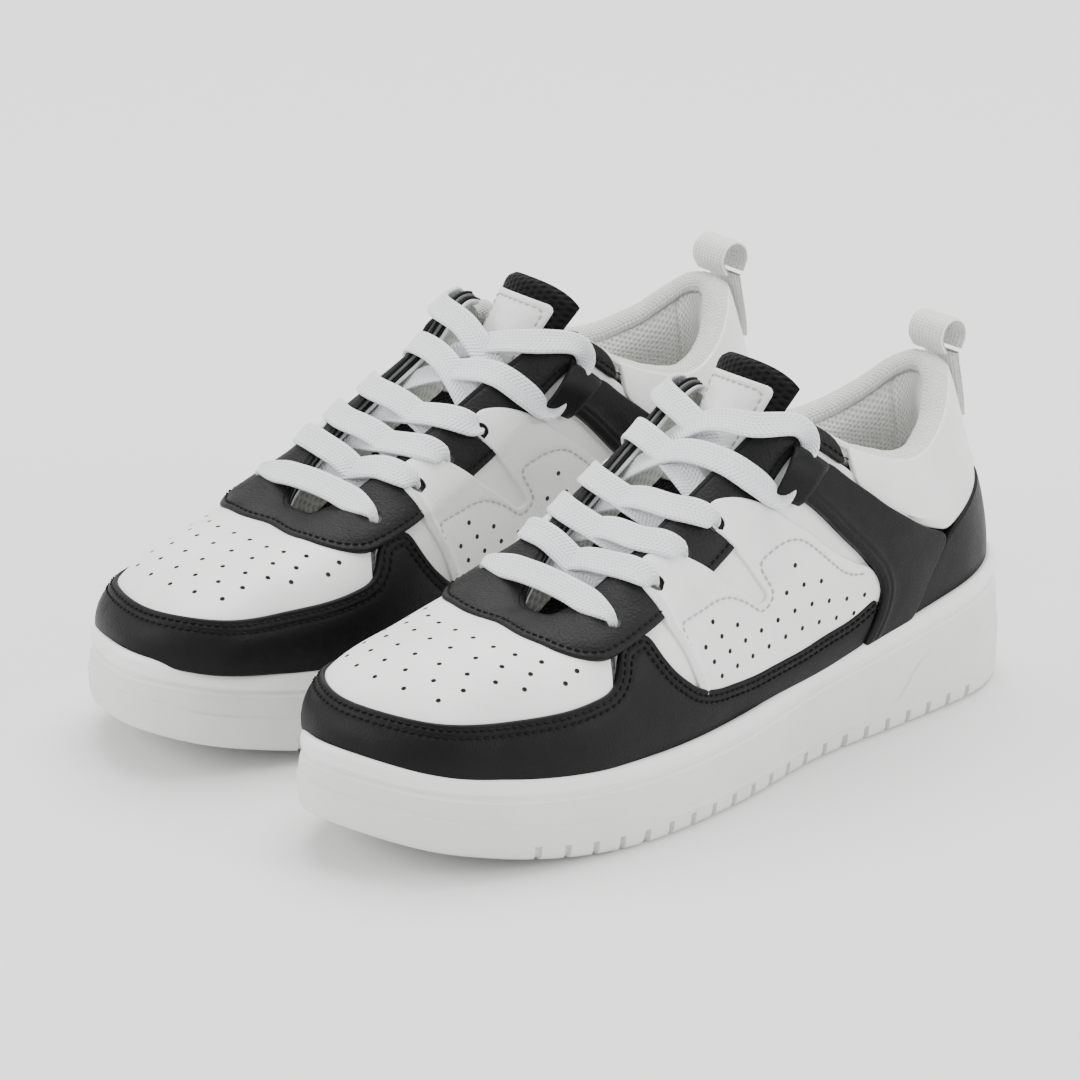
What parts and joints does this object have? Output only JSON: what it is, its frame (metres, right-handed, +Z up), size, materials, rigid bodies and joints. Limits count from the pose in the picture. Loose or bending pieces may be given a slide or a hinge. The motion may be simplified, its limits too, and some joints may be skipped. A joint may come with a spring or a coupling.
{
  "type": "cheer shoes",
  "caption": "Pair of low cheer shoes with layered leather panels, flat criss-cross laces, padded collar, heel pull tab and thick moulded cupsole.",
  "frame": {"origin": "centre of the pair's bounding box, at ground level", "axes": "+X from the right shoe to the left shoe, +Y from the toes to the heels, +Z up"},
  "size_m": [0.2113, 0.2794, 0.1261],
  "materials": {
    "sole_rubber": "satin moulded rubber",
    "foam": "matte foam",
    "board": "matte fibre board",
    "insole": "brushed textile",
    "white_leather": "smooth, soft sheen",
    "black_leather": "smooth, soft sheen",
    "charcoal_leather": "grained, matte",
    "knit_binding": "knitted, matte",
    "lining_mesh": "honeycomb mesh",
    "black_mesh": "open mesh",
    "webbing": "ribbed webbing",
    "lace_cotton": "flat woven"
  },
  "bodies": {
    "left_shoe": {"left_cupsole": "sole_rubber", "left_foam_wedge": "foam", "left_lasting_board": "board", "left_insole": "insole", "left_toe_cap": "white_leather", "left_bumper": "black_leather", "left_eyestay": "charcoal_leather", "left_quarter_lateral": "white_leather", "left_quarter_medial": "white_leather", "left_overlay_lateral": "white_leather", "left_overlay_medial": "white_leather", "left_strap_lateral": "black_leather", "left_strap_medial": "black_leather", "left_loop_lateral": "black_leather", "left_loop_medial": "black_leather", "left_heel_counter": "black_leather", "left_heel_stiffener": "board", "left_collar_panel": "white_leather", "left_collar_binding": "knit_binding", "left_collar_padding": "foam", "left_collar_lining": "lining_mesh", "left_vamp_lining": "lining_mesh", "left_tongue": "black_mesh", "left_pull_tab_base": "webbing", "left_lace": "lace_cotton"},
    "left_tongue_flap": {"left_tongue_top": "black_mesh", "left_tongue_label": "white_leather"},
    "left_pull_tab_loop": {"left_pull_tab": "webbing"},
    "right_shoe": {"right_cupsole": "sole_rubber", "right_foam_wedge": "foam", "right_lasting_board": "board", "right_insole": "insole", "right_toe_cap": "white_leather", "right_bumper": "black_leather", "right_eyestay": "charcoal_leather", "right_quarter_lateral": "white_leather", "right_quarter_medial": "white_leather", "right_overlay_lateral": "white_leather", "right_overlay_medial": "white_leather", "right_strap_lateral": "black_leather", "right_strap_medial": "black_leather", "right_loop_lateral": "black_leather", "right_loop_medial": "black_leather", "right_heel_counter": "black_leather", "right_heel_stiffener": "board", "right_collar_panel": "white_leather", "right_collar_binding": "knit_binding", "right_collar_padding": "foam", "right_collar_lining": "lining_mesh", "right_vamp_lining": "lining_mesh", "right_tongue": "black_mesh", "right_pull_tab_base": "webbing", "right_lace": "lace_cotton"},
    "right_tongue_flap": {"right_tongue_top": "black_mesh", "right_tongue_label": "white_leather"},
    "right_pull_tab_loop": {"right_pull_tab": "webbing"}
  },
  "joints": [
    {"name": "right_shoe_lift", "type": "slide", "parent": "left_shoe", "child": "right_shoe", "axis": [0, 0, 1], "range_m": [0, 0.2]},
    {"name": "left_tongue_bend", "type": "hinge", "parent": "left_shoe", "child": "left_tongue_flap", "pos_m": [0.0559, 0.0043, 0.0862], "axis": [1, 0, 0], "range_deg": [-12, 4], "stiffness_Nm_per_rad": 0.5},
    {"name": "left_pull_tab_bend", "type": "hinge", "parent": "left_shoe", "child": "left_pull_tab_loop", "pos_m": [0.0551, 0.1186, 0.1093], "axis": [1, 0, 0], "range_deg": [-10, 10], "stiffness_Nm_per_rad": 0.1},
    {"name": "right_tongue_bend", "type": "hinge", "parent": "right_shoe", "child": "right_tongue_flap", "pos_m": [-0.05415, 0.00683, 0.0862], "axis": [0.9994, -0.0349, 0], "range_deg": [-12, 4], "stiffness_Nm_per_rad": 0.5},
    {"name": "right_pull_tab_bend", "type": "hinge", "parent": "right_shoe", "child": "right_pull_tab_loop", "pos_m": [-0.04936, 0.12103, 0.1093], "axis": [0.9994, -0.0349, 0], "range_deg": [-10, 10], "stiffness_Nm_per_rad": 0.1}
  ]
}
